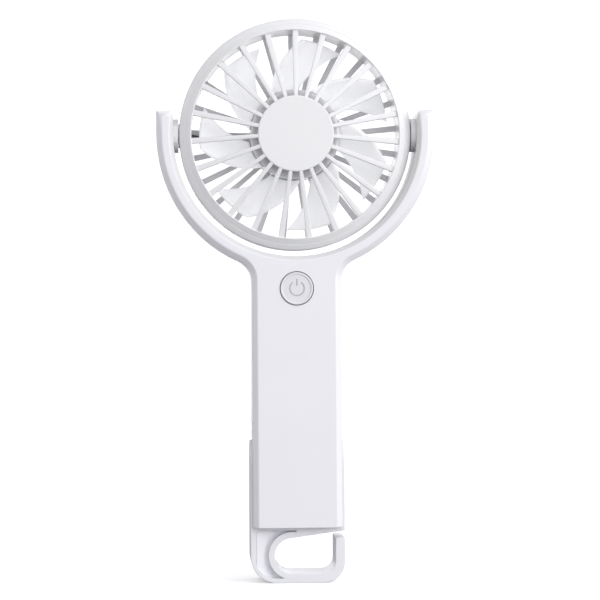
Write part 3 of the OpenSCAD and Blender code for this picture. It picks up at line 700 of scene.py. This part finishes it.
studio = {
    "floorTone": rgb(0.93, 0.93, 0.94),
    "floorShade": rgb(0.91, 0.91, 0.92),
    "frontEdge": -2.0,
    "bendStart": 1.2,
    "bendRadius": 0.5,
    "wallTop": 2.4,
    "halfWidth": 2.5,
    "paperGlow": 0.34,
    "bounceTone": rgb(0.42, 0.42, 0.43),
    "ambient": 0.72,
    "fromRight": 0.56,
    "fromFront": 0.70,
    "fromAbove": 0.05,
    "darkest": 0.12,
    "seenSky": 1.05,
    "skyTone": (0.985, 0.985, 1.0, 1.0),
    "aim": (0, 0, 0.10),
    "lights": {
        "keySoftbox": {"place": (0.85, -0.62, 0.24), "size": (0.45, 0.45), "power": 2.6},
        "rightStrip": {"place": (0.62, -0.38, 0.08), "size": (0.20, 0.40), "power": 1.0},
        "leftFill": {"place": (-0.90, -0.20, 0.35), "size": (0.5, 0.7), "power": 1.0},
        "backFill": {"place": (-0.15, 1.0, 0.16), "size": (0.9, 0.7), "power": 3.2},
    },
}


def addLight(name, aim, place, size, power):
    lamp = bpy.data.lights.new(name, "AREA")
    lamp.shape = "RECTANGLE"
    lamp.size, lamp.size_y = size
    lamp.energy = power
    obj = bpy.data.objects.new(name, lamp)
    bpy.context.scene.collection.objects.link(obj)
    obj.location = place
    obj.rotation_euler = (Vector(aim) - Vector(place)).to_track_quat("-Z", "Y").to_euler()
    obj.visible_camera = False


def makeBackdrop(s):
    # paper sweep: floor, bend and wall in one strip
    bm = bmesh.new()
    bend = [(s["bendStart"] + s["bendRadius"] + y, s["bendRadius"] + z)
            for y, z in arcPoints((-s["bendRadius"], 0), s["bendRadius"], -90, 0, 12)]
    side = [(s["frontEdge"], 0.0)] + bend + [(bend[-1][0], s["wallTop"])]
    verts = [bm.verts.new((-s["halfWidth"], y, z)) for y, z in side]
    edges = [bm.edges.new(pair) for pair in zip(verts, verts[1:])]
    wide = bmesh.ops.extrude_edge_only(bm, edges=edges)
    moved = [item for item in wide["geom"] if isinstance(item, bmesh.types.BMVert)]
    bmesh.ops.translate(bm, verts=moved, vec=(2 * s["halfWidth"], 0, 0))
    mesh = bpy.data.meshes.new("paperSweep")
    bm.to_mesh(mesh)
    bm.free()
    mesh.shade_smooth()
    sweep = bpy.data.objects.new("paperSweep", mesh)
    bpy.context.scene.collection.objects.link(sweep)
    # the paper looks white, and throws back only a little light
    paint = Paint("sweepPaper")
    paint.set(Base_Color=paint.blendColour(paint.noise(60.0), s["floorTone"], s["floorShade"]), Roughness=0.9,
              Emission_Color=(1, 1, 1, 1), Emission_Strength=s["paperGlow"])
    seen = paint.add("ShaderNodeLightPath", out="Is Camera Ray")
    dim = paint.add("ShaderNodeBsdfDiffuse", None, {"Color": s["bounceTone"]})
    bright = Wire(paint, paint.shader.outputs[0])
    paper = paint.add("ShaderNodeMixShader", None, {"Fac": seen, 1: dim, 2: bright})
    paint.plug(paint.tree.nodes["Material Output"].inputs["Surface"], paper)
    mesh.materials.append(paint.material)


def makeSky(s):
    # soft surrounding light, stronger from the right and the front; plain white where the camera sees it
    world = bpy.data.worlds.new("studioLight")
    bpy.context.scene.world = world
    world.use_nodes = True
    sky = NodeMaker(world.node_tree)
    direction = sky.add("ShaderNodeTexCoord", out="Generated")
    x, y, z = (sky.add("ShaderNodeSeparateXYZ", None, {0: direction}, axis) for axis in "XYZ")
    strength = x * s["fromRight"] - y * s["fromFront"] + z * s["fromAbove"] + s["ambient"]
    strength = strength.calc("MAXIMUM", strength, s["darkest"])
    seen = sky.add("ShaderNodeLightPath", out="Is Camera Ray")
    strength = strength * (1.0 - seen) + seen * s["seenSky"]
    fill = world.node_tree.nodes["Background"]
    fill.inputs["Color"].default_value = s["skyTone"]
    sky.plug(fill.inputs["Strength"], strength)


def makeStudio(s):
    makeBackdrop(s)
    makeSky(s)
    for name, lamp in s["lights"].items():
        addLight(name, s["aim"], **lamp)


view = {"distance": 0.780, "azimuth": -2.7, "height": 0.0958, "lens": 139.1, "sensor": 36.0, "roll": 0.4,
        "shiftRight": 0.00767}


def makeCamera(s):
    data = bpy.data.cameras.new("camera")
    data.lens = s["lens"]
    data.sensor_width = s["sensor"]
    data.clip_start = 0.05
    camera = bpy.data.objects.new("camera", data)
    bpy.context.scene.collection.objects.link(camera)
    turn = math.radians(s["azimuth"])
    back = Vector((math.sin(turn), -math.cos(turn), 0.0))
    reach = s["distance"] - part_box("handle_front_shell")[0].y
    camera.location = back * reach + Vector((0, 0, s["height"]))
    aim = (-back).to_track_quat("-Z", "Y")
    camera.rotation_mode = "QUATERNION"
    camera.rotation_quaternion = aim @ Matrix.Rotation(math.radians(-s["roll"]), 3, "Z").to_quaternion()
    data.shift_x = s["shiftRight"]
    bpy.context.scene.camera = camera


makeStudio(studio)
makeCamera(view)
bpy.context.scene.view_settings.view_transform = "Standard"
print("studio ready")
